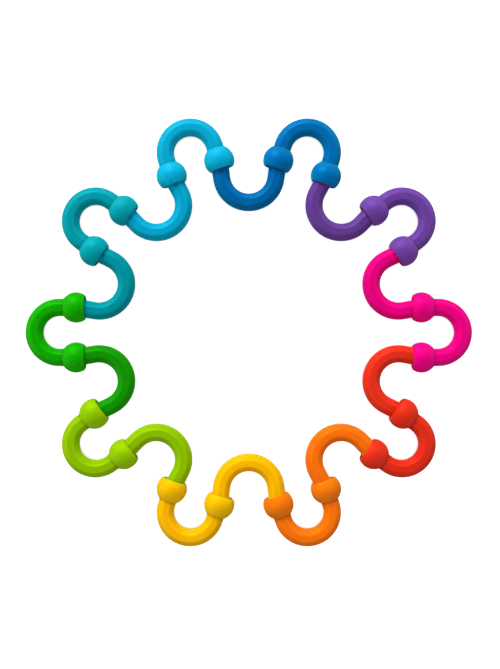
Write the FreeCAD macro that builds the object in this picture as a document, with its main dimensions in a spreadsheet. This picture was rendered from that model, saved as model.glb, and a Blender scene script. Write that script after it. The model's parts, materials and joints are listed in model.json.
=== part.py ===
import FreeCAD, Part
import math
import os

import Sketcher

# Twenty U-shaped links snapped into one closed ring.
# A socket link makes an outer hill and ends in two collars, each a hollow ball cup.
# A ball link makes an inner valley and ends in two ball heads that sit in the cups.
# The ring lies flat on its collars, with its centre on the Z axis and the floor at 0.
#
# Each link is drawn in its own frame: its two joint centres lie on X, either side of
# the origin, and the crest of its bend points along +Y.

SIZES = [
    ("link_pairs", 10, "socket links in the ring, and as many ball links"),
    ("tube_width", 10.0, "octagonal tube, across its flats"),
    ("tube_rounding", 1.4, "radius on the eight long edges of the tube"),
    ("socket_bend", 14.5, "centre-line bend radius of a socket link"),
    ("socket_stem", 9.6, "straight tube from the bend to a cup centre"),
    ("socket_spread", 0.0, "outward lean of a socket link's stems, degrees"),
    ("ball_bend", 15.8, "centre-line bend radius of a ball link"),
    ("ball_stem", 10.8, "straight tube from the bend to a ball centre"),
    ("ball_spread", 8.0, "outward lean of a ball link's stems, degrees"),
    ("collar_radius", 8.8, "outside of a collar, a sphere about the cup centre"),
    ("mouth_depth", 5.2, "cup centre to the plane of the mouth"),
    ("mouth_bore", 6.35, "radius of the mouth"),
    ("mouth_clear", 1.0, "how far the cup's cutter runs past the mouth"),
    ("lip_rounding", 1.1, "outer edge of the mouth"),
    ("ball_radius", 7.0, "ball head"),
    ("ball_play", 0.1, "radial gap between a ball head and its cup"),
]

# Colour families counter-clockwise from +X: a socket link, then the ball link after it.
FAMILIES = [
    "magenta", "purple", "blue", "sky", "teal",
    "green", "lime", "yellow", "orange", "red",
]

OCTAGON = 8
ROUND = 2 * math.pi
FULL_TURN = 360
VOLUME_ERROR = 0.001
PARTS_FOLDER = "parts"


def make_sheet(doc):
    sheet = doc.addObject("Spreadsheet::Sheet", "sizes")
    for row, (alias, value, meaning) in enumerate(SIZES, start=1):
        sheet.set(f"A{row}", alias)
        sheet.set(f"B{row}", str(value))
        sheet.set(f"C{row}", meaning)
        sheet.setAlias(f"B{row}", alias)
    doc.recompute()
    return sheet


# ---- the shape of a link's centre line, as numbers and as rules for the document ----

def bend_and_stem(sizes, kind):
    bend = sizes.get(f"{kind}_bend")
    stem = sizes.get(f"{kind}_stem")
    spread = math.radians(sizes.get(f"{kind}_spread"))
    return bend, stem, spread


def half_chord(sizes, kind):
    bend, stem, spread = bend_and_stem(sizes, kind)
    return bend * math.cos(spread) + stem * math.sin(spread)


def half_chord_rule(kind):
    spread = f"sizes.{kind}_spread * 1 deg"
    return f"sizes.{kind}_bend * cos({spread}) + sizes.{kind}_stem * sin({spread})"


def crest_rule(kind):
    spread = f"sizes.{kind}_spread * 1 deg"
    return f"sizes.{kind}_bend * (1 - sin({spread})) + sizes.{kind}_stem * cos({spread})"


# ---- sketch helpers ----

def flat_point(x, y):
    return FreeCAD.Vector(x, y, 0)


def polar_point(radius, angle):
    return flat_point(radius * math.cos(angle), radius * math.sin(angle))


def add_sketch(body, name, role):
    sketch = body.newObject("Sketcher::SketchObject", f"{body.Name}_{name}")
    planes = [plane for plane in body.Origin.OriginFeatures if plane.Role == role]
    sketch.AttachmentSupport = (planes[0], [""])
    sketch.MapMode = "FlatFace"
    return sketch


def add_line(sketch, start, end, construction=False):
    return sketch.addGeometry(Part.LineSegment(start, end), construction)


def add_arc(sketch, centre, radius, start, end):
    circle = Part.Circle(centre, FreeCAD.Vector(0, 0, 1), radius)
    return sketch.addGeometry(Part.ArcOfCircle(circle, start, end))


def rule(sketch, kind, *places):
    return sketch.addConstraint(Sketcher.Constraint(kind, *places))


def size_rule(sketch, name, expression, kind, *places):
    index = rule(sketch, kind, *places)
    sketch.renameConstraint(index, name)
    sketch.setExpression(f"Constraints.{name}", expression)


# Constraint places: a curve's start, end and centre, and the sketch's origin and axis.
START = 1
END = 2
CENTRE = 3
X_AXIS = -1
Y_AXIS = -2
ORIGIN = (-1, 1)


def draw_tube_section(sketch, sizes):
    """A rounded octagon about the sketch's origin, with a flat across each axis."""
    apothem = sizes.tube_width / 2
    rounding = sizes.tube_rounding
    step = ROUND / OCTAGON
    corner = (apothem - rounding) / math.cos(step / 2)
    flats = []
    edges = []
    for side in range(OCTAGON):
        facing = side * step
        out = polar_point(rounding, facing)
        before = polar_point(corner, facing - step / 2)
        after = polar_point(corner, facing + step / 2)
        flats.append(add_line(sketch, before + out, after + out))
        edges.append(add_arc(sketch, after, rounding, facing, facing + step))
    inscribed = Part.Circle(flat_point(0, 0), FreeCAD.Vector(0, 0, 1), apothem)
    gauge = sketch.addGeometry(inscribed, True)
    rule(sketch, "Coincident", gauge, CENTRE, *ORIGIN)
    size_rule(sketch, "width", "sizes.tube_width", "Diameter", gauge, 2 * apothem)
    size_rule(sketch, "rounding", "sizes.tube_rounding", "Radius", edges[0], rounding)
    for side in range(OCTAGON):
        along = math.remainder(side * step + ROUND / 4, ROUND)
        following = (side + 1) % OCTAGON
        rule(sketch, "Angle", flats[side], along)
        rule(sketch, "Tangent", flats[side], gauge)
        rule(sketch, "Tangent", flats[side], END, edges[side], START)
        rule(sketch, "Tangent", edges[side], END, flats[following], START)
    for edge in edges[1:]:
        rule(sketch, "Equal", edges[0], edge)


def draw_spin_axis(sketch, bend, kind):
    """The upright line that the bend turns about, one bend radius inside the section."""
    axis = add_line(sketch, flat_point(-bend, -bend), flat_point(-bend, bend), True)
    rule(sketch, "Symmetric", axis, START, axis, END, X_AXIS)
    size_rule(sketch, "bend", f"sizes.{kind}_bend", "DistanceX", axis, END, *ORIGIN, bend)
    size_rule(sketch, "axis_length", f"2 * sizes.{kind}_bend", "DistanceY",
              axis, START, axis, END, 2 * bend)


def draw_collar(sketch, sizes):
    """Half the collar's outline: a sphere about the cup centre, cut off at the mouth."""
    centre_x = half_chord(sizes, "socket")
    radius = sizes.collar_radius
    depth = sizes.mouth_depth
    lip = sizes.lip_rounding
    lip_x = math.sqrt((radius - lip) ** 2 - (depth - lip) ** 2)
    lip_angle = math.atan2(lip - depth, lip_x)
    centre = flat_point(centre_x, 0)
    top = flat_point(centre_x, radius)
    bottom = flat_point(centre_x, -depth)
    lip_centre = flat_point(centre_x + lip_x, lip - depth)
    lip_end = flat_point(centre_x + lip_x, -depth)
    dome = add_arc(sketch, centre, radius, lip_angle, ROUND / 4)
    edge = add_arc(sketch, lip_centre, lip, -ROUND / 4, lip_angle)
    mouth = add_line(sketch, lip_end, bottom)
    core = add_line(sketch, bottom, top)
    axis = add_line(sketch, bottom, top, True)
    rule(sketch, "PointOnObject", dome, CENTRE, X_AXIS)
    rule(sketch, "Tangent", dome, START, edge, END)
    rule(sketch, "Tangent", edge, START, mouth, START)
    rule(sketch, "Horizontal", mouth)
    rule(sketch, "Coincident", mouth, END, core, START)
    rule(sketch, "Coincident", core, END, dome, END)
    rule(sketch, "Vertical", core)
    rule(sketch, "Vertical", dome, CENTRE, dome, END)
    rule(sketch, "Coincident", axis, START, core, START)
    rule(sketch, "Coincident", axis, END, core, END)
    size_rule(sketch, "reach", half_chord_rule("socket"),
              "DistanceX", *ORIGIN, dome, CENTRE, centre_x)
    size_rule(sketch, "radius", "sizes.collar_radius", "Radius", dome, radius)
    size_rule(sketch, "lip", "sizes.lip_rounding", "Radius", edge, lip)
    size_rule(sketch, "depth", "sizes.mouth_depth",
              "DistanceY", core, START, dome, CENTRE, depth)


def draw_cup(sketch, sizes):
    """Half the hollow of a collar: the ball's seat, and the mouth that keeps it in."""
    centre_x = half_chord(sizes, "socket")
    radius = sizes.ball_radius + sizes.ball_play
    bore = sizes.mouth_bore
    depth = sizes.mouth_depth + sizes.mouth_clear
    throat_angle = -math.acos(bore / radius)
    centre = flat_point(centre_x, 0)
    top = flat_point(centre_x, radius)
    bottom = flat_point(centre_x, -depth)
    corner = flat_point(centre_x + bore, -depth)
    throat = centre + polar_point(radius, throat_angle)
    seat = add_arc(sketch, centre, radius, throat_angle, ROUND / 4)
    wall = add_line(sketch, throat, corner)
    floor = add_line(sketch, corner, bottom)
    core = add_line(sketch, bottom, top)
    axis = add_line(sketch, bottom, top, True)
    rule(sketch, "PointOnObject", seat, CENTRE, X_AXIS)
    rule(sketch, "Coincident", seat, START, wall, START)
    rule(sketch, "Vertical", wall)
    rule(sketch, "Coincident", wall, END, floor, START)
    rule(sketch, "Horizontal", floor)
    rule(sketch, "Coincident", floor, END, core, START)
    rule(sketch, "Coincident", core, END, seat, END)
    rule(sketch, "Vertical", core)
    rule(sketch, "Vertical", seat, CENTRE, seat, END)
    rule(sketch, "Coincident", axis, START, core, START)
    rule(sketch, "Coincident", axis, END, core, END)
    size_rule(sketch, "reach", half_chord_rule("socket"),
              "DistanceX", *ORIGIN, seat, CENTRE, centre_x)
    size_rule(sketch, "radius", "sizes.ball_radius + sizes.ball_play",
              "Radius", seat, radius)
    size_rule(sketch, "bore", "sizes.mouth_bore",
              "DistanceX", core, START, wall, END, bore)
    size_rule(sketch, "depth", "sizes.mouth_depth + sizes.mouth_clear",
              "DistanceY", core, START, seat, CENTRE, depth)


def draw_ball(sketch, sizes):
    """Half a disc whose straight side lies along the stem, which spins into a ball head."""
    centre_x = half_chord(sizes, "ball")
    radius = sizes.ball_radius
    up_stem = ROUND / 4 + math.radians(sizes.ball_spread)
    centre = flat_point(centre_x, 0)
    top = centre + polar_point(radius, up_stem)
    bottom = centre - polar_point(radius, up_stem)
    rim = add_arc(sketch, centre, radius, up_stem - ROUND / 2, up_stem)
    base = add_line(sketch, bottom, top)
    axis = add_line(sketch, bottom, top, True)
    rule(sketch, "PointOnObject", rim, CENTRE, X_AXIS)
    rule(sketch, "Coincident", rim, START, base, START)
    rule(sketch, "Coincident", rim, END, base, END)
    rule(sketch, "PointOnObject", rim, CENTRE, base)
    rule(sketch, "Coincident", axis, START, base, START)
    rule(sketch, "Coincident", axis, END, base, END)
    size_rule(sketch, "reach", half_chord_rule("ball"),
              "DistanceX", *ORIGIN, rim, CENTRE, centre_x)
    size_rule(sketch, "radius", "sizes.ball_radius", "Radius", rim, radius)
    size_rule(sketch, "lean", "(90 + sizes.ball_spread) * 1 deg", "Angle", base, up_stem)


# ---- features of a link ----

def add_bend(body, sizes, kind):
    """The curved tube, spun both ways from its crest."""
    bend, stem, spread = bend_and_stem(sizes, kind)
    sketch = add_sketch(body, "crest_section", "YZ_Plane")
    crest = bend * (1 - math.sin(spread)) + stem * math.cos(spread)
    sketch.AttachmentOffset = FreeCAD.Placement(flat_point(crest, 0), FreeCAD.Rotation())
    sketch.setExpression("AttachmentOffset.Base.x", crest_rule(kind))
    draw_tube_section(sketch, sizes)
    draw_spin_axis(sketch, bend, kind)
    feature = body.newObject("PartDesign::Revolution", f"{body.Name}_bend")
    feature.Profile = sketch
    feature.ReferenceAxis = (sketch, ["Axis0"])
    feature.Midplane = True
    feature.setExpression("Angle", f"180 - 2 * sizes.{kind}_spread")
    return feature


def add_stem(body, sizes, kind):
    """The straight tube from the joint centre on +X up to the end of the bend."""
    spread = sizes.get(f"{kind}_spread")
    sketch = add_sketch(body, "stem_section", "XZ_Plane")
    lean = FreeCAD.Rotation(FreeCAD.Vector(0, 1, 0), spread)
    sketch.AttachmentOffset = FreeCAD.Placement(flat_point(half_chord(sizes, kind), 0), lean)
    sketch.setExpression("AttachmentOffset.Base.x", half_chord_rule(kind))
    sketch.setExpression("AttachmentOffset.Rotation.Angle", f"sizes.{kind}_spread")
    draw_tube_section(sketch, sizes)
    feature = body.newObject("PartDesign::Pad", f"{body.Name}_stem")
    feature.Profile = sketch
    feature.Reversed = True
    feature.setExpression("Length", f"sizes.{kind}_stem")
    return feature


def add_turned(body, sizes, name, draw, feature_type):
    """A sketch on the link's mid-plane, spun all the way round its construction line."""
    sketch = add_sketch(body, f"{name}_outline", "XY_Plane")
    draw(sketch, sizes)
    feature = body.newObject(feature_type, f"{body.Name}_{name}")
    feature.Profile = sketch
    feature.ReferenceAxis = (sketch, ["Axis0"])
    feature.Angle = FULL_TURN
    return feature


def mirror_ends(body, features):
    mirrored = body.newObject("PartDesign::Mirrored", f"{body.Name}_both_ends")
    planes = [plane for plane in body.Origin.OriginFeatures if plane.Role == "YZ_Plane"]
    mirrored.Originals = features
    mirrored.MirrorPlane = (planes[0], [""])
    body.Tip = mirrored


def make_socket_link(doc, sizes, name):
    body = doc.addObject("PartDesign::Body", name)
    body.Label = name
    add_bend(body, sizes, "socket")
    stem = add_stem(body, sizes, "socket")
    collar = add_turned(body, sizes, "collar", draw_collar, "PartDesign::Revolution")
    cup = add_turned(body, sizes, "cup", draw_cup, "PartDesign::Groove")
    mirror_ends(body, [stem, collar, cup])
    doc.recompute()
    check_cup(collar, cup, sizes)
    return body


def make_ball_link(doc, sizes, name):
    body = doc.addObject("PartDesign::Body", name)
    body.Label = name
    add_bend(body, sizes, "ball")
    stem = add_stem(body, sizes, "ball")
    ball = add_turned(body, sizes, "ball", draw_ball, "PartDesign::Revolution")
    mirror_ends(body, [stem, ball])
    doc.recompute()
    return body


# ---- the ring ----

def ring_radius(sizes):
    """Distance from the ring's centre to every joint centre, so that the ring closes."""
    outer = half_chord(sizes, "socket")
    inner = half_chord(sizes, "ball")
    share = math.pi / sizes.link_pairs
    spread = outer ** 2 + inner ** 2 + 2 * outer * inner * math.cos(share)
    return math.sqrt(spread) / math.sin(share)


def place_link(body, sizes, kind, heading):
    """Stand a link on its chord; socket links point out of the ring, ball links into it."""
    chord_radius = math.sqrt(ring_radius(sizes) ** 2 - half_chord(sizes, kind) ** 2)
    middle = polar_point(chord_radius, math.radians(heading))
    middle.z = sizes.collar_radius
    quarter = FULL_TURN / 4
    turn = heading - quarter if kind == "socket" else heading + quarter
    upright = FreeCAD.Vector(0, 0, 1)
    body.Placement = FreeCAD.Placement(middle, FreeCAD.Rotation(upright, turn))


# ---- checks ----

def check_cup(collar, cup, sizes):
    """The cup must take exactly its own volume out of the collar."""
    radius = sizes.ball_radius + sizes.ball_play
    bore = sizes.mouth_bore
    throat = math.sqrt(radius ** 2 - bore ** 2)
    cap = radius - throat
    seat = 4 / 3 * math.pi * radius ** 3 - math.pi * cap ** 2 * (3 * radius - cap) / 3
    mouth = math.pi * bore ** 2 * (sizes.mouth_depth - throat)
    removed = collar.Shape.Volume - cup.Shape.Volume
    if abs(removed - seat - mouth) > VOLUME_ERROR * (seat + mouth):
        raise ValueError(f"{cup.Label} removed {removed:.1f}, not {seat + mouth:.1f}")


def check_document(doc, links):
    for item in doc.Objects:
        if "Invalid" in item.State or "Error" in item.State:
            raise ValueError(f"{item.Label} is {item.State}")
    for link in links:
        if link.Shape.isNull() or not link.Shape.isValid() or len(link.Shape.Solids) != 1:
            raise ValueError(f"{link.Label} is not one valid solid")


def main():
    doc = FreeCAD.newDocument("twisty_snake")
    sizes = make_sheet(doc)
    pitch = FULL_TURN / sizes.link_pairs
    links = []
    for index, family in enumerate(FAMILIES):
        socket_link = make_socket_link(doc, sizes, f"socket_link_{family}")
        place_link(socket_link, sizes, "socket", index * pitch)
        ball_link = make_ball_link(doc, sizes, f"ball_link_{family}")
        place_link(ball_link, sizes, "ball", (index + 0.5) * pitch)
        links += [socket_link, ball_link]
    doc.recompute()
    check_document(doc, links)
    os.makedirs(PARTS_FOLDER, exist_ok=True)
    for link in links:
        link.Shape.exportStep(f"{PARTS_FOLDER}/{link.Label}.step")
        print(link.Label, round(link.Shape.Volume, 1), link.Shape.BoundBox)


main()
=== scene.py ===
import json
import math

import bpy
from mathutils import Matrix, Vector

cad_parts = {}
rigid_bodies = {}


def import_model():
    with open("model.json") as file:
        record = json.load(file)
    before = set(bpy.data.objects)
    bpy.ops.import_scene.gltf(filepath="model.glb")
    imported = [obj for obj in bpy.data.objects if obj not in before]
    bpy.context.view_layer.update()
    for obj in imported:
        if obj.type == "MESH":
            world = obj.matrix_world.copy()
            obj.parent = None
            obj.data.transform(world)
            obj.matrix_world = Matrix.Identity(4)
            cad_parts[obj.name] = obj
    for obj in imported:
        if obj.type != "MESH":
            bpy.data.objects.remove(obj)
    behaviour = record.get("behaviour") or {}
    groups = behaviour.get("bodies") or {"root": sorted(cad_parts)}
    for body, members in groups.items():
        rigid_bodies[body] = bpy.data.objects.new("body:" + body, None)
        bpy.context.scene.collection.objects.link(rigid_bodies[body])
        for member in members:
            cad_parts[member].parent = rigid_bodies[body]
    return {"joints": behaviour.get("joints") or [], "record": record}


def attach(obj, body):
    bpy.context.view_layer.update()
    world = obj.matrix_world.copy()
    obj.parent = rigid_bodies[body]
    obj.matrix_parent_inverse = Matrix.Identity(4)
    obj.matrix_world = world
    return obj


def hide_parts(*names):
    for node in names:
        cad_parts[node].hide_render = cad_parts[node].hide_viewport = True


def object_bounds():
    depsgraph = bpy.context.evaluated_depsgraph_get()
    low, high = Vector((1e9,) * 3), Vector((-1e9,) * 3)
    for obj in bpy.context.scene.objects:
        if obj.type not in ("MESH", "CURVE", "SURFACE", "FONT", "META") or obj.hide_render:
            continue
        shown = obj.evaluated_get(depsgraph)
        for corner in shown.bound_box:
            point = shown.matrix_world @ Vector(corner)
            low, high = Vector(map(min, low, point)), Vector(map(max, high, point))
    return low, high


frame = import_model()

# Twenty U-shaped links snapped into a ring. Every link is one soft-touch moulding, built
# here as one clean skin that takes the place of its CAD node and rides on the node's body.
# A socket link makes an outer hill and ends in two collars. A ball link makes an inner
# valley and ends in two ball heads, which sit in the collars.

cad_low, cad_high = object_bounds()

MM = 0.001
FAMILIES = (
    "magenta", "purple", "blue", "sky", "teal",
    "green", "lime", "yellow", "orange", "red",
)
PITCH = 2 * math.pi / len(FAMILIES)
QUARTER = math.pi / 2

# ---- sizes of a link in millimetres, as in the CAD but for the slightly rounder edges ----

APOTHEM = 5.0             # octagonal tube, from its axis to a flat
EDGE_ROUND = 1.7          # radius on the tube's long edges
SIDES = 8
SOCKET_BEND = 14.5        # centre-line radius of a socket link's bend
SOCKET_STEM = 9.6         # straight tube from the bend to a cup centre
SOCKET_LEAN = 0.0
BALL_BEND = 15.8
BALL_STEM = 10.8
BALL_LEAN = math.radians(8)   # a ball link's stems lean outwards
COLLAR = 8.8              # outside of a collar, a sphere
MOUTH = 5.2               # cup centre to the plane of the mouth
BORE = 6.35               # radius of the mouth
LIP = 1.1                 # outer rounding of the mouth
SEAT = 7.1                # inside of the cup
BALL = 7.0                # ball head

# ---- how finely the skin is divided, and its small fillets ----

FLAT_SHARES = (-1, -0.82, -0.3, 0.3, 0.82, 1)   # points across a flat, as shares of its half
EDGE_SHARES = (0.25, 0.5, 0.75)                 # points round an edge, between two flats
BEND_STEP = math.radians(3)
DOME_STEP = math.radians(4)
CREASE_BLEND = 0.55       # millimetres over which a collar or ball runs into the tube
CREASE_REACH = 1.1        # the rings are close together this far either side of the crease
CREASE_RINGS = 12
LIP_RINGS = 7
RIM_RINGS = 4
BORE_RINGS = 3

# ---- how rubbed the skin is and how much painted highlight it has, where a long edge is 1, and how much painted shade, where a crease is 1 ----

FLAT_END_WEAR_AND_HIGHLIGHT = 0.4
# Painted highlight: the collar domes get the paling of worn skin, so that they look more lit.
COLLAR_PAINTED_HIGHLIGHT = 0.8
LIP_WEAR_AND_HIGHLIGHT = 0.3
# Painted shade: how dark each kind of link is made where its collar or ball meets the tube.
SOCKET_CREASE_SHADE = 1.0
BALL_CREASE_SHADE = 0.0
PAINTED_SHADE_REACH = 1.3          # how far the painted shade of a crease spreads over the skin
MOUTH_SHADE = 1.0         # painted shade in the mouth and the cup behind it


# ---- the cross-section of the tube ----

def tube_angles():
    """Angles round the tube, close together on its edges, each with the wear and painted
    highlight there.
    """
    half = math.pi / SIDES
    flat_end = math.atan((APOTHEM - EDGE_ROUND) * math.tan(half) / APOTHEM)
    edge = 2 * (half - flat_end)
    angles = []
    for side in range(SIDES):
        facing = side * 2 * half
        for share in FLAT_SHARES:
            wear_and_highlight = 0.0 if abs(share) < 1 else FLAT_END_WEAR_AND_HIGHLIGHT
            angles.append((facing + share * flat_end, wear_and_highlight))
        for share in EDGE_SHARES:
            angles.append((facing + flat_end + share * edge, 1.0))
    return angles


def tube_radius(angle):
    """Distance from the tube's axis to its skin, a rounded octagon."""
    half = math.pi / SIDES
    corner = (APOTHEM - EDGE_ROUND) / math.cos(half)
    off_flat = abs(math.remainder(angle, 2 * half))
    if off_flat <= math.atan(corner * math.sin(half) / APOTHEM):
        return APOTHEM / math.cos(off_flat)
    turn = half - off_flat
    reach = math.sqrt(EDGE_ROUND ** 2 - (corner * math.sin(turn)) ** 2)
    return corner * math.cos(turn) + reach


AROUND = tube_angles()
TUBE = [tube_radius(angle) for angle, wear_and_highlight in AROUND]
TUBE_WEAR_AND_HIGHLIGHT = [wear_and_highlight for angle, wear_and_highlight in AROUND]


# ---- rings of an end: (distance up the stem from the joint centre, radii, wear and painted highlight, painted shade) ----

def round_ring(along, radius, wear_and_highlight=0.0, shade=0.0):
    return along, [radius] * len(AROUND), [wear_and_highlight] * len(AROUND), shade


def tube_ring(along):
    return along, TUBE, TUBE_WEAR_AND_HIGHLIGHT, 0.0


def soft_max(first, second):
    """The larger of two radii, with a small fillet where they are nearly the same."""
    near = max(CREASE_BLEND - abs(first - second), 0) / CREASE_BLEND
    return max(first, second) + near * near * CREASE_BLEND / 4


def crease_rings(sphere, depth, rubbed_and_lit):
    """Down the stem onto a sphere about the joint centre. depth is the painted shade of the
    crease and the third argument the wear and painted highlight of the sphere. Returns the
    rings and the angle at which they end."""
    crease = math.sqrt(sphere ** 2 - APOTHEM ** 2)
    rings = []
    for index in range(CREASE_RINGS + 1):
        along = crease + CREASE_REACH * (1 - 2 * index / CREASE_RINGS)
        ball = math.sqrt(max(sphere ** 2 - along ** 2, 0))
        radii = [soft_max(tube, ball) for tube in TUBE]
        wear_and_highlight = [worn_and_lit if tube > ball else rubbed_and_lit for tube, worn_and_lit in zip(TUBE, TUBE_WEAR_AND_HIGHLIGHT)]
        shade = depth * max(1 - abs(along - crease) / PAINTED_SHADE_REACH, 0)
        rings.append((along, radii, wear_and_highlight, shade))
    return rings, math.acos((crease - CREASE_REACH) / sphere)


def arc_rings(along, out, radius, start, end, count, wear_and_highlight=0.0, shade=0.0):
    """Rings on an arc about (along, out), by the angle from the stem's direction."""
    rings = []
    for index in range(1, count + 1):
        angle = start + (end - start) * index / count
        rings.append(round_ring(along + radius * math.cos(angle),
                                out + radius * math.sin(angle), wear_and_highlight, shade))
    return rings


def dome_rings(sphere, start, end, wear_and_highlight=0.0, shade=0.0):
    count = math.ceil(abs(end - start) / DOME_STEP)
    return arc_rings(0, 0, sphere, start, end, count, wear_and_highlight, shade)


def socket_end():
    """Over the collar, round its lip and rim, and into the cup, to the cup's far side."""
    rings, start = crease_rings(COLLAR, SOCKET_CREASE_SHADE, COLLAR_PAINTED_HIGHLIGHT)
    lip_along = LIP - MOUTH
    lip_out = math.sqrt((COLLAR - LIP) ** 2 - lip_along ** 2)
    lip_angle = math.atan2(lip_out, lip_along)
    rings += dome_rings(COLLAR, start, lip_angle, COLLAR_PAINTED_HIGHLIGHT)
    rings += arc_rings(lip_along, lip_out, LIP, lip_angle, math.pi, LIP_RINGS, LIP_WEAR_AND_HIGHLIGHT)
    rim = lip_out - BORE
    rings += arc_rings(rim - MOUTH, lip_out, rim, math.pi, 1.5 * math.pi, RIM_RINGS,
                       shade=MOUTH_SHADE)
    throat = -math.sqrt(SEAT ** 2 - BORE ** 2)
    for index in range(1, BORE_RINGS + 1):
        along = rim - MOUTH + (throat - rim + MOUTH) * index / BORE_RINGS
        rings.append(round_ring(along, BORE, shade=MOUTH_SHADE))
    rings += dome_rings(SEAT, math.pi - math.asin(BORE / SEAT), 0, shade=MOUTH_SHADE)
    return rings[:-1], SEAT


def ball_end():
    """Over the ball head to its far side."""
    rings, start = crease_rings(BALL, BALL_CREASE_SHADE, 0.0)
    rings += dome_rings(BALL, start, math.pi)
    return rings[:-1], -BALL


# ---- one link's skin, in its own frame: joint centres on X, crest along +Y ----

def half_chord(bend, stem, lean):
    return bend * math.cos(lean) + stem * math.sin(lean)


def link_rings(bend, stem, lean, end):
    """Rings from the crest to the end on +X, each with its centre and the way out from
    it, and the point that closes the end."""
    rings, pole = end
    sweep = QUARTER - lean
    middle = stem * math.cos(lean) - bend * math.sin(lean)
    steps = round(sweep / BEND_STEP)
    placed = []
    for index in range(steps + 1):
        turn = sweep * index / steps
        out = Vector((math.sin(turn), math.cos(turn), 0))
        placed.append((Vector((0, middle, 0)) + bend * out, out, tube_ring(0)))
    joint = Vector((half_chord(bend, stem, lean), 0, 0))
    out = Vector((math.cos(lean), math.sin(lean), 0))
    up_stem = Vector((-math.sin(lean), math.cos(lean), 0))
    half_way = tube_ring((stem + rings[0][0]) / 2)
    for ring in [half_way] + rings:
        placed.append((joint + ring[0] * up_stem, out, ring))
    return placed, joint + pole * up_stem


def link_mesh(name, bend, stem, lean, end, place):
    """One closed skin: the rings, their mirror image, and a point that closes each end."""
    placed, pole = link_rings(bend, stem, lean, end)
    up = Vector((0, 0, 1))
    rows = []
    for centre, out, (along, radii, wear_and_highlight, shade) in placed:
        row = [centre + radius * (math.cos(angle) * out + math.sin(angle) * up)
               for radius, (angle, worn_and_lit) in zip(radii, AROUND)]
        rows.append((row, wear_and_highlight, shade))
    flip = Matrix.Diagonal((-1, 1, 1))
    left = [([flip @ point for point in row], wear_and_highlight, shade)
            for row, wear_and_highlight, shade in rows[:0:-1]]
    rows = left + rows
    around = len(AROUND)
    points = [point for row, wear_and_highlight, shade in rows for point in row]
    points += [flip @ pole, pole]
    faces = []
    for index in range(len(rows) - 1):
        for side in range(around):
            after = (side + 1) % around
            near = index * around
            far = near + around
            faces.append((near + side, near + after, far + after, far + side))
    first_pole = len(points) - 2
    last = (len(rows) - 1) * around
    for side in range(around):
        after = (side + 1) % around
        faces.append((first_pole, after, side))
        faces.append((first_pole + 1, last + side, last + after))
    mesh = bpy.data.meshes.new(name)
    mesh.from_pydata([place @ (MM * point) for point in points], [], faces)
    mesh.shade_smooth()
    # Per point, the wear with its painted highlight, and the painted shade, for the material.
    wear_and_highlight_points = [value for row, wear_and_highlight, shade in rows for value in wear_and_highlight] + [0.0, 0.0]
    shades = [shade for row, wear_and_highlight, shade in rows for value in wear_and_highlight] + [0.0, 0.0]
    mesh.attributes.new("wear_and_highlight", "FLOAT", "POINT").data.foreach_set("value", wear_and_highlight_points)
    mesh.attributes.new("painted_shade", "FLOAT", "POINT").data.foreach_set("value", shades)
    mesh.validate()
    return mesh


# ---- where the links are, from the frame's joints ----

def socket_headings():
    """The direction from the ring's centre to each socket link, from its hinges' axes."""
    headings = {}
    for joint in frame["joints"]:
        axis = Vector(joint["axis"])
        outward = axis if axis.dot(Vector(joint["pos_m"])) > 0 else -axis
        for body in (joint["parent"], joint["child"]):
            if body.startswith("socket_link_"):
                headings[body.removeprefix("socket_link_")] = math.atan2(outward.y, outward.x)
    return headings


def link_place(heading, half, facing):
    """Rest place of a link whose chord is at this heading and whose crest faces so."""
    joint = Vector(frame["joints"][0]["pos_m"])
    ring = math.hypot(joint.x, joint.y)
    chord = math.sqrt(ring ** 2 - (MM * half) ** 2)
    middle = Vector((chord * math.cos(heading), chord * math.sin(heading), joint.z))
    return Matrix.Translation(middle) @ Matrix.Rotation(facing - QUARTER, 4, "Z")


# ---- materials: a noise is (scale, detail), and other pairs run from low to high ----

NOISE_MIDDLE = (0.3, 0.7)         # where nearly all of a noise lies
MIX_FIRST, MIX_SECOND, MIX_RESULT = 6, 7, 2   # the Mix node's sockets for colours
MOTTLE_NOISE = (90, 3)
MOTTLE_SHARES = (0.96, 1.04)      # of the link's colour
WORN_AND_LIT_COLOUR = 1.12                # rubbed skin is paler; the same paling paints a highlight on edges and domes
WORN_AND_LIT_SHARE = 0.9
WORN_POLISH = 0.06                # and a little smoother
PAINTED_SHADE_COLOUR = 0.62                # painted shade: skin in a crease or a mouth is darker
PAINTED_SHADE_SHARE = 0.65
ROUGH_NOISE = (260, 2)
ROUGH_SPAN = (0.48, 0.56)
GRAIN_NOISE = (2600, 2)
SWELL_NOISE = (420, 1)
SWELL_SHARE = 1.5                 # height of the slow swell, where the fine grain's is 1
BUMP_STRENGTH = 0.5
BUMP_HEIGHT = 0.00005             # metres
SKIN_IOR = 1.42
SPECULAR_LEVEL = 0.5
SHEEN_WEIGHT = 0.6
SHEEN_ROUGHNESS = 0.5
SCATTER_WEIGHT = 0.8
SCATTER_DEPTH = 0.005             # metres
FLOOR_NOISE = (3, 2)
FLOOR_WHITES = (0.93, 0.95)
FLOOR_ROUGHNESS = 0.9
FLOOR_GLOW = 0.52


def new_node(tree, kind, **settings):
    node = tree.nodes.new(kind)
    for name, value in settings.items():
        setattr(node, name, value)
    return node


def noise(tree, coordinates, scale, detail):
    node = new_node(tree, "ShaderNodeTexNoise")
    node.inputs["Scale"].default_value = scale
    node.inputs["Detail"].default_value = detail
    tree.links.new(coordinates, node.inputs["Vector"])
    return node.outputs["Fac"]


def spread(tree, value, low, high):
    """The middle of a noise, stretched to run from low to high."""
    node = new_node(tree, "ShaderNodeMapRange")
    node.inputs["From Min"].default_value = NOISE_MIDDLE[0]
    node.inputs["From Max"].default_value = NOISE_MIDDLE[1]
    node.inputs["To Min"].default_value = low
    node.inputs["To Max"].default_value = high
    tree.links.new(value, node.inputs["Value"])
    return node.outputs["Result"]


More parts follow.
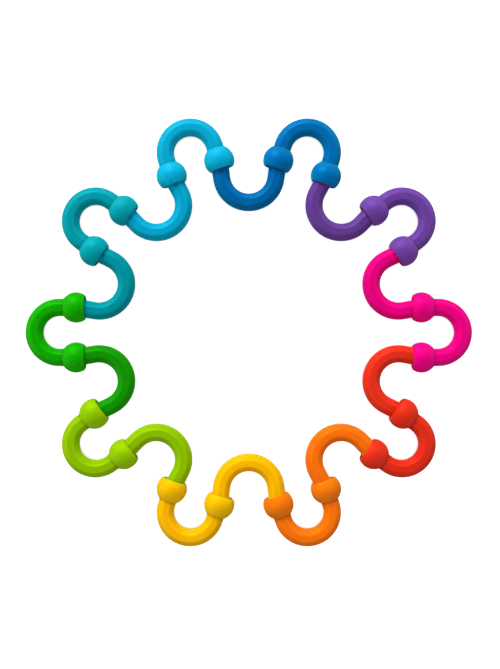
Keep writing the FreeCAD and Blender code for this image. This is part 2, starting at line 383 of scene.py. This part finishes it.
def mix(tree, share, first, second):
    """Between two colours or colour outputs, by a share that varies from point to point."""
    node = new_node(tree, "ShaderNodeMix", data_type="RGBA")
    tree.links.new(share, node.inputs["Factor"])
    for index, colour in ((MIX_FIRST, first), (MIX_SECOND, second)):
        socket = node.inputs[index]
        if isinstance(colour, bpy.types.NodeSocket):
            tree.links.new(colour, socket)
        else:
            socket.default_value = (*colour, 1)
    return node.outputs[MIX_RESULT]


def arithmetic(tree, operation, first, second):
    node = new_node(tree, "ShaderNodeMath", operation=operation)
    for socket, value in zip(node.inputs, (first, second)):
        if isinstance(value, bpy.types.NodeSocket):
            tree.links.new(value, socket)
        else:
            socket.default_value = value
    return node.outputs["Value"]


def attribute(tree, name):
    return new_node(tree, "ShaderNodeAttribute", attribute_name=name).outputs["Fac"]


def scaled(colour, share):
    return tuple(min(channel * share, 1) for channel in colour)


def grey(value):
    return (value, value, value)


def ramp(tree, value, start, end):
    """A smooth share, 0 where the value is at start and 1 where it is at end."""
    node = new_node(tree, "ShaderNodeMapRange", interpolation_type="SMOOTHSTEP")
    node.inputs["From Min"].default_value = start
    node.inputs["From Max"].default_value = end
    tree.links.new(value, node.inputs["Value"])
    return node.outputs["Result"]


def soft_touch(name, colour, gloss):
    """Matte, slightly silky elastomer: faint mottling, fine grain, smoother and paler where
    rubbed, a painted highlight on edges and collar domes, and painted shade in creases and
    mouths.
    """
    material = bpy.data.materials.new(name)
    material.use_nodes = True
    tree = material.node_tree
    shader = tree.nodes["Principled BSDF"]
    where = new_node(tree, "ShaderNodeTexCoord").outputs["Object"]
    mottle = spread(tree, noise(tree, where, *MOTTLE_NOISE), 0, 1)
    low, high = MOTTLE_SHARES
    body = mix(tree, mottle, scaled(colour, low), scaled(colour, high))
    # Paler where worn, and the same paling paints a highlight on the edges and collar domes.
    rubbed_and_lit = arithmetic(tree, "MULTIPLY", attribute(tree, "wear_and_highlight"), WORN_AND_LIT_SHARE)
    body = mix(tree, rubbed_and_lit, body, scaled(colour, WORN_AND_LIT_COLOUR))
    # Painted shade: darker in the creases and in the mouths of the cups.
    shaded = arithmetic(tree, "MULTIPLY", attribute(tree, "painted_shade"), PAINTED_SHADE_SHARE)
    body = mix(tree, shaded, body, scaled(colour, PAINTED_SHADE_COLOUR))
    tree.links.new(body, shader.inputs["Base Color"])
    rough = spread(tree, noise(tree, where, *ROUGH_NOISE), *ROUGH_SPAN)
    polish = arithmetic(tree, "MULTIPLY", attribute(tree, "wear_and_highlight"), WORN_POLISH)
    tree.links.new(arithmetic(tree, "SUBTRACT", rough, polish), shader.inputs["Roughness"])
    grain = noise(tree, where, *GRAIN_NOISE)
    swell = arithmetic(tree, "MULTIPLY", noise(tree, where, *SWELL_NOISE), SWELL_SHARE)
    bump = new_node(tree, "ShaderNodeBump")
    bump.inputs["Strength"].default_value = BUMP_STRENGTH
    bump.inputs["Distance"].default_value = BUMP_HEIGHT
    tree.links.new(arithmetic(tree, "ADD", grain, swell), bump.inputs["Height"])
    tree.links.new(bump.outputs["Normal"], shader.inputs["Normal"])
    settings = {
        "IOR": SKIN_IOR,
        "Specular IOR Level": SPECULAR_LEVEL,
        "Specular Tint": (*gloss, 1),
        "Sheen Weight": SHEEN_WEIGHT,
        "Sheen Roughness": SHEEN_ROUGHNESS,
        "Sheen Tint": (*gloss, 1),
        "Subsurface Weight": SCATTER_WEIGHT,
        "Subsurface Radius": colour,
        "Subsurface Scale": SCATTER_DEPTH,
    }
    for socket, value in settings.items():
        shader.inputs[socket].default_value = value
    return material


def pale_floor():
    material = bpy.data.materials.new("pale_floor")
    material.use_nodes = True
    tree = material.node_tree
    shader = tree.nodes["Principled BSDF"]
    where = new_node(tree, "ShaderNodeTexCoord").outputs["Object"]
    cloud = spread(tree, noise(tree, where, *FLOOR_NOISE), 0, 1)
    low, high = FLOOR_WHITES
    tree.links.new(mix(tree, cloud, grey(low), grey(high)), shader.inputs["Base Color"])
    shader.inputs["Roughness"].default_value = FLOOR_ROUGHNESS
    shader.inputs["Specular IOR Level"].default_value = 0.0
    shader.inputs["Emission Color"].default_value = (*grey(1), 1)
    shader.inputs["Emission Strength"].default_value = FLOOR_GLOW
    return material


# ---- the links ----

# The tint of each family's gloss and sheen, which keeps its colour full where it is lit.
GLOSS = {
    "magenta": (1.0, 0.02, 0.5), "purple": (0.5, 0.3, 0.9), "blue": (0.0, 0.9, 0.8),
    "sky": (0.04, 0.85, 0.7), "teal": (0.0, 0.9, 0.85), "green": (0.14, 0.9, 0.01),
    "lime": (0.75, 1.0, 0.0), "yellow": (1.0, 0.8, 0.02), "orange": (1.0, 0.5, 0.02),
    "red": (1.0, 0.2, 0.06),
}
record_colours = {item["slot"]: item["base_color"] for item in frame["record"]["materials"]}
toy = bpy.data.collections.new("toy")
ground = bpy.data.collections.new("ground")
for collection in (toy, ground):
    bpy.context.scene.collection.children.link(collection)


def add_link(kind, side, family, shape, end, heading, facing):
    """One link at this heading from the ring's centre, in place of its CAD node."""
    node = f"{kind}_link_{family}"
    slot = f"soft_touch_{family}_{side}"
    colour = tuple(record_colours[slot][:3])
    place = link_place(heading, half_chord(*shape), facing)
    mesh = link_mesh(node, *shape, end, place)
    mesh.materials.append(soft_touch(slot, colour, GLOSS[family]))
    piece = bpy.data.objects.new(f"{family}_{side}_link", mesh)
    toy.objects.link(piece)
    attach(piece, node)
    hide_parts(node)


SOCKET_SHAPE = (SOCKET_BEND, SOCKET_STEM, SOCKET_LEAN)
BALL_SHAPE = (BALL_BEND, BALL_STEM, BALL_LEAN)
headings = socket_headings()
for family in FAMILIES:
    heading = headings[family]
    add_link("socket", "outer", family, SOCKET_SHAPE, socket_end(), heading, heading)
    heading += PITCH / 2
    add_link("ball", "inner", family, BALL_SHAPE, ball_end(), heading, heading + math.pi)

# ---- camera, floor and light ----

MIDDLE_HEIGHT = COLLAR * MM
CAMERA_HEIGHT = 0.70
VIEW_HEIGHT = 0.388
CAMERA_ASIDE = Vector((0.0007, -0.0012))
SENSOR = 36

camera = bpy.data.objects.new("camera", bpy.data.cameras.new("camera"))
camera.location = (*CAMERA_ASIDE, MIDDLE_HEIGHT + CAMERA_HEIGHT)
camera.data.sensor_width = SENSOR
camera.data.lens = SENSOR * CAMERA_HEIGHT / VIEW_HEIGHT
bpy.context.scene.collection.objects.link(camera)
bpy.context.scene.camera = camera

FLOOR_RADIUS = 40.0
FLOOR_SIDES = 96
FLOOR_DROP = 0.00005
floor_mesh = bpy.data.meshes.new("floor")
floor_z = cad_low.z - FLOOR_DROP
floor_points = []
for index in range(FLOOR_SIDES):
    turn = 2 * math.pi * index / FLOOR_SIDES
    floor_points.append((FLOOR_RADIUS * math.cos(turn), FLOOR_RADIUS * math.sin(turn), floor_z))
floor_mesh.from_pydata(floor_points, [], [tuple(range(FLOOR_SIDES))])
floor_mesh.materials.append(pale_floor())
floor = bpy.data.objects.new("floor", floor_mesh)
# The floor sends no light up onto the toy.
floor.visible_diffuse = False
floor.visible_glossy = False
ground.objects.link(floor)

LIGHT_DISTANCE = 3.0


def add_softbox(name, azimuth, elevation, width, power, lit):
    """A square light that looks at the ring's centre and lights one collection."""
    data = bpy.data.lights.new(name, "AREA")
    data.shape = "SQUARE"
    data.size = width
    data.energy = power
    light = bpy.data.objects.new(name, data)
    turn = math.radians(azimuth)
    rise = math.radians(elevation)
    level = math.cos(rise)
    away = Vector((math.cos(turn) * level, math.sin(turn) * level, math.sin(rise)))
    light.location = away * LIGHT_DISTANCE
    light.rotation_mode = "QUATERNION"
    light.rotation_quaternion = away.to_track_quat("Z", "Y")
    bpy.context.scene.collection.objects.link(light)
    light.light_linking.receiver_collection = lit


add_softbox("key", azimuth=112, elevation=33, width=1.4, power=95, lit=toy)
add_softbox("overhead", azimuth=0, elevation=90, width=1.0, power=52, lit=ground)

# The sky is white at the horizon, dimmer overhead and dark below the floor. A fade begins and
# ends at these heights of the direction, where 0 is level and 1 is straight up.
OVERHEAD_FADE = (0.25, 0.95)
OVERHEAD_GREY = 0.22
UNDER_FADE = (-0.04, -0.2)
UNDER_GREY = 0.06
SKY_STRENGTH = 1.02


def pale_studio():
    """Even pale light from all round, which meets the floor in white at the horizon."""
    world = bpy.data.worlds.new("studio")
    world.use_nodes = True
    tree = world.node_tree
    direction = new_node(tree, "ShaderNodeTexCoord").outputs["Generated"]
    parts = new_node(tree, "ShaderNodeSeparateXYZ")
    tree.links.new(direction, parts.inputs["Vector"])
    above = ramp(tree, parts.outputs["Z"], *OVERHEAD_FADE)
    below = ramp(tree, parts.outputs["Z"], *UNDER_FADE)
    sky = mix(tree, above, grey(1), grey(OVERHEAD_GREY))
    sky = mix(tree, below, sky, grey(UNDER_GREY))
    background = tree.nodes["Background"]
    tree.links.new(sky, background.inputs["Color"])
    background.inputs["Strength"].default_value = SKY_STRENGTH
    return world


bpy.context.scene.world = pale_studio()
bpy.context.scene.view_settings.view_transform = "Standard"
